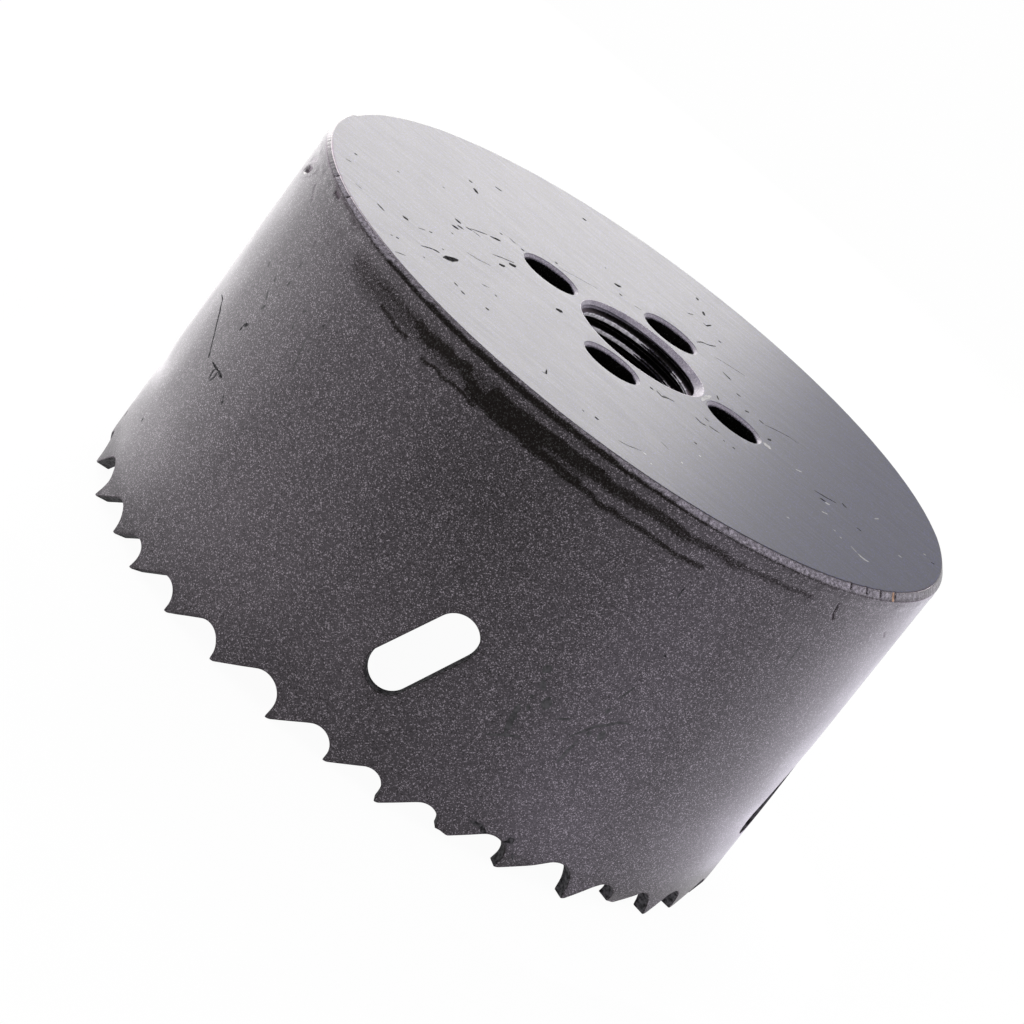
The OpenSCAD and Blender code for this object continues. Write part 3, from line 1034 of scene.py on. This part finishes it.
def flake_paint(name, roughness, levels, hue, specular, streaks):
    """Dark grey paint with fine metal flakes. It is black as far as the black field says, which
    holds painted shade besides the real dark of seams, nicks and the weld, and pale as far as the
    other field says, which holds painted highlights on the bevel, the holes' sinks and the thread
    besides real pale specks."""
    material, nodes, links = new_material(name)
    shader = nodes["Principled BSDF"]
    place = nodes.new("ShaderNodeTexCoord").outputs["Object"]
    flakes = nodes.new("ShaderNodeTexVoronoi")
    put(flakes, {"Scale": FLAKE_SCALE})
    links.new(place, flakes.inputs["Vector"])
    spread = nodes.new("ShaderNodeSeparateColor")
    links.new(flakes.outputs["Color"], spread.inputs["Color"])
    paint = nodes.new("ShaderNodeValToRGB")
    tones = [tuple(level * part for part in hue) + (1,) for level in levels]
    stops(paint, *zip((0, 0.78, 1), tones))
    links.new(spread.outputs["Red"], paint.inputs["Fac"])
    bright = nodes.new("ShaderNodeValToRGB")
    stops(bright, (0, grey(0.26, 0.09)), (0.7, grey(0.38, 0.1)), (1, grey(0.6, 0.06)))
    links.new(spread.outputs["Green"], bright.inputs["Fac"])
    # The near-black that the black field turns the paint to, for painted shade and real dark alike
    black_tone = nodes.new("ShaderNodeValToRGB")
    stops(black_tone, (0, (0.0075, 0.0062, 0.006, 1)), (0.85, (0.013, 0.011, 0.0105, 1)),
          (1, grey(0.05)))
    links.new(spread.outputs["Blue"], black_tone.inputs["Fac"])
    colour = blend(nodes, links, field(nodes, "highlight_and_bare"), paint.outputs["Color"],
                   bright.outputs["Color"])
    # The black takes the paint flake by flake: SOFTEN is the share that it takes together
    reach = arithmetic(nodes, links, "MULTIPLY", field(nodes, "black"), 1 + SOFTEN)
    reach = arithmetic(nodes, links, "SUBTRACT", reach, spread.outputs["Green"])
    black = arithmetic(nodes, links, "DIVIDE", reach, SOFTEN)
    if not streaks:
        speck = arithmetic(nodes, links, "SUBTRACT", 0.2, spread.outputs["Blue"])
        speck = arithmetic(nodes, links, "DIVIDE", speck, 0.25)
        black = arithmetic(nodes, links, "MAXIMUM", black, speck)
    colour = blend(nodes, links, black, colour, black_tone.outputs["Color"])
    links.new(colour, shader.inputs["Base Color"])
    # Metal with that near-black keeps painted shade black from every side
    links.new(black, shader.inputs["Metallic"])
    turned = nodes.new("ShaderNodeMapping")
    put(turned, {"Rotation": (0, 0, math.radians(-40)), "Scale": (1, 12 if streaks else 1, 1)})
    links.new(place, turned.inputs["Vector"])
    cloud = nodes.new("ShaderNodeTexNoise")
    put(cloud, {"Scale": 180, "Detail": 5})
    links.new(turned.outputs["Vector"], cloud.inputs["Vector"])
    gloss = nodes.new("ShaderNodeMapRange")
    values = {"From Min": 0.3, "From Max": 0.7,
              "To Min": roughness - 0.03, "To Max": roughness + 0.03}
    put(gloss, values)
    links.new(cloud.outputs["Fac"], gloss.inputs["Value"])
    links.new(gloss.outputs["Result"], shader.inputs["Roughness"])
    put(shader, {"Specular IOR Level": specular, "Specular Tint": (1, 0.9, 1, 1)})
    return material


def plain_finish(name, dark, light, roughness, specular, hue=(1, 0.97, 1.03)):
    """A finish that varies between a dark and a light tone of one hue in fine clouds."""
    material, nodes, links = new_material(name)
    shader = nodes["Principled BSDF"]
    cloud = nodes.new("ShaderNodeTexNoise")
    put(cloud, {"Scale": 2500})
    links.new(nodes.new("ShaderNodeTexCoord").outputs["Object"], cloud.inputs["Vector"])
    ramp = nodes.new("ShaderNodeValToRGB")
    tones = [tuple(level * part for part in hue) + (1,) for level in (dark, light)]
    stops(ramp, *zip((0.35, 0.65), tones))
    links.new(cloud.outputs["Fac"], ramp.inputs["Fac"])
    links.new(ramp.outputs["Color"], shader.inputs["Base Color"])
    put(shader, {"Roughness": roughness, "Specular IOR Level": specular})
    return material


# The studio


def make_camera():
    """Stands where the photo was taken from, rolled as it was held."""
    camera = bpy.data.cameras.new("camera")
    camera.lens = 159.08
    camera.sensor_width = 36
    obj = bpy.data.objects.new("camera", camera)
    right = Vector((0.768161, 0.274386, 0.578482))
    up = Vector((-0.629322, 0.157305, 0.761058))
    back = Vector((0.117825, -0.948666, 0.293513))
    turn = Matrix((right, up, back)).transposed().to_4x4()
    place = (0.057399, -0.466049, 0.165017)
    obj.matrix_world = Matrix.Translation(place) @ turn
    bpy.context.scene.collection.objects.link(obj)
    bpy.context.scene.camera = obj


def seen_directly(nodes, links):
    """1 for camera, mirror and see-through rays, 0 for those that gather light."""
    rays = nodes.new("ShaderNodeLightPath")
    total = rays.outputs["Is Camera Ray"]
    for name in ("Is Glossy Ray", "Is Transmission Ray"):
        more = nodes.new("ShaderNodeMath")
        more.operation = "MAXIMUM"
        links.new(total, more.inputs[0])
        links.new(rays.outputs[name], more.inputs[1])
        total = more.outputs[0]
    return total


def make_floor():
    """A wide white floor."""
    bpy.ops.mesh.primitive_plane_add(size=6)
    floor = bpy.context.object
    floor.name = "floor"
    material, nodes, links = new_material("floor_white")
    shader = nodes["Principled BSDF"]
    put(shader, {"Base Color": (0.95, 0.95, 0.95, 1), "Roughness": 0.9})
    glow = nodes.new("ShaderNodeEmission")
    put(glow, {"Strength": 1.0})
    mix = nodes.new("ShaderNodeMixShader")
    share = nodes.new("ShaderNodeMath")
    share.operation = "MULTIPLY"
    put(share, {1: FLOOR_WHITE})
    links.new(seen_directly(nodes, links), share.inputs[0])
    links.new(share.outputs[0], mix.inputs["Fac"])
    links.new(shader.outputs[0], mix.inputs[1])
    links.new(glow.outputs[0], mix.inputs[2])
    links.new(mix.outputs[0], nodes["Material Output"].inputs["Surface"])
    floor.data.materials.append(material)


def make_world():
    """A white world that is a little dimmer as light than as seen."""
    world = bpy.data.worlds.new("studio")
    bpy.context.scene.world = world
    world.use_nodes = True
    nodes, links = world.node_tree.nodes, world.node_tree.links
    level = nodes.new("ShaderNodeMapRange")
    put(level, {"To Min": WORLD_LIGHT, "To Max": WORLD_SEEN})
    links.new(seen_directly(nodes, links), level.inputs["Value"])
    links.new(level.outputs["Result"], nodes["Background"].inputs["Strength"])
    nodes["Background"].inputs["Color"].default_value = (1, 1, 1, 1)


def softbox(name, place, aim, size, level, colour):
    """A lit card. A level of 1 is as bright as the white background."""
    light = bpy.data.lights.new(name, "AREA")
    light.shape = "RECTANGLE"
    light.size, light.size_y = size
    light.energy = level * math.pi * size[0] * size[1]
    light.color = colour
    obj = bpy.data.objects.new(name, light)
    obj.location = place
    obj.rotation_euler = (Vector(aim) - Vector(place)).to_track_quat("-Z", "Y").to_euler()
    obj.visible_camera = False
    bpy.context.scene.collection.objects.link(obj)


# Levels of the cards that stand round the object, by angle
CARDS = (
    (-60, 0.13), (-40, 0.55), (-20, 0.3), (0, 0.49), (20, 0.79), (40, 1.0), (100, 1.8),
    (120, 2.3), (140, 1.4), (160, 1.28), (180, 0.7), (200, 0.9), (220, 0.39), (240, 0.28),
)


def flat_card(name, out, distance, size, level, colour):
    """A lit card that lies on the floor."""
    place = distance * out + Vector((0, 0, 0.001))
    softbox(name, place, place - 0.02 * out + Vector((0, 0, 0.1)), size, level, colour)


def make_cards():
    """The lit cards: round the object, on the floor, in front, and behind for the face."""
    for angle, level in CARDS:
        a = math.radians(angle)
        out = Vector((math.cos(a), math.sin(a), 0))
        colour = (1, 0.96, 1.13) if angle < 60 else (1, 0.985, 0.995)
        name = "%03d" % (angle % 360)
        card = SHORT_CARD if SHORT_FROM < angle < SHORT_TO else TALL_CARD
        distance, height, aim, size = card
        place = distance * out + Vector((0, 0, height))
        softbox("card_" + name, place, Vector((0, 0, aim)), size, level, colour)
        flat_card("low_card_" + name, out, 0.0505, (0.0175, 0.015), 1.2 * level, colour)
    for angle in (225, 245, 265):
        out = Vector((math.cos(math.radians(angle)), math.sin(math.radians(angle)), 0))
        flat_card("front_card_%03d" % angle, out, 0.067, (0.023, 0.03), 0.5, (1, 0.97, 0.99))
    softbox("back_card", (-0.16, 0.32, 0.22), (-0.16, 0, 0.22), (0.28, 0.43), 3.7, (1, 0.98, 0.95))


def main():
    scratch = plain_finish("scratch_black", 0.01, 0.06, 0.9, 0.0)
    rub = plain_finish("rubbed_paint", 0.015, 0.05, 0.6, 0.25)
    edge = plain_finish("cut_edge", 0.015, 0.11, 0.8, 0.1)
    brown = plain_finish("brown_grain", 0.2, 0.45, 0.8, 0.2, (1, 0.62, 0.42))
    fleck = plain_finish("pale_fleck", 0.14, 0.28, 0.5, 0.5)
    # Pale finish for the thread's crests, a painted highlight
    crest_highlight = plain_finish("thread_crest_highlight", 0.5, 0.95, 0.5, 0.5, (1, 0.96, 1.05))
    shell_hue, cap_hue = (1.03, 0.93, 1.04), (0.4, 0.45, 2.2)
    shell_paint = flake_paint("shell_flake", 0.33, (0.008, 0.02, 0.24), shell_hue, 0.5, False)
    cap_paint = flake_paint("cap_flake", 0.36, (0.006, 0.014, 0.08), cap_hue, 0.2, True)
    shell = make_shell([shell_paint, scratch, rub, cap_paint, edge, brown])
    cap = make_cap([cap_paint, scratch, fleck, crest_highlight])
    for piece, node, slot in (
        (shell, "toothed_shell", "shell_paint"),
        (cap, "end_cap", "cap_paint"),
    ):
        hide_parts(node)
        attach(piece, "root")
    make_camera()
    make_floor()
    make_world()
    make_cards()
    scene = bpy.context.scene
    scene.view_settings.view_transform = "Standard"


main()
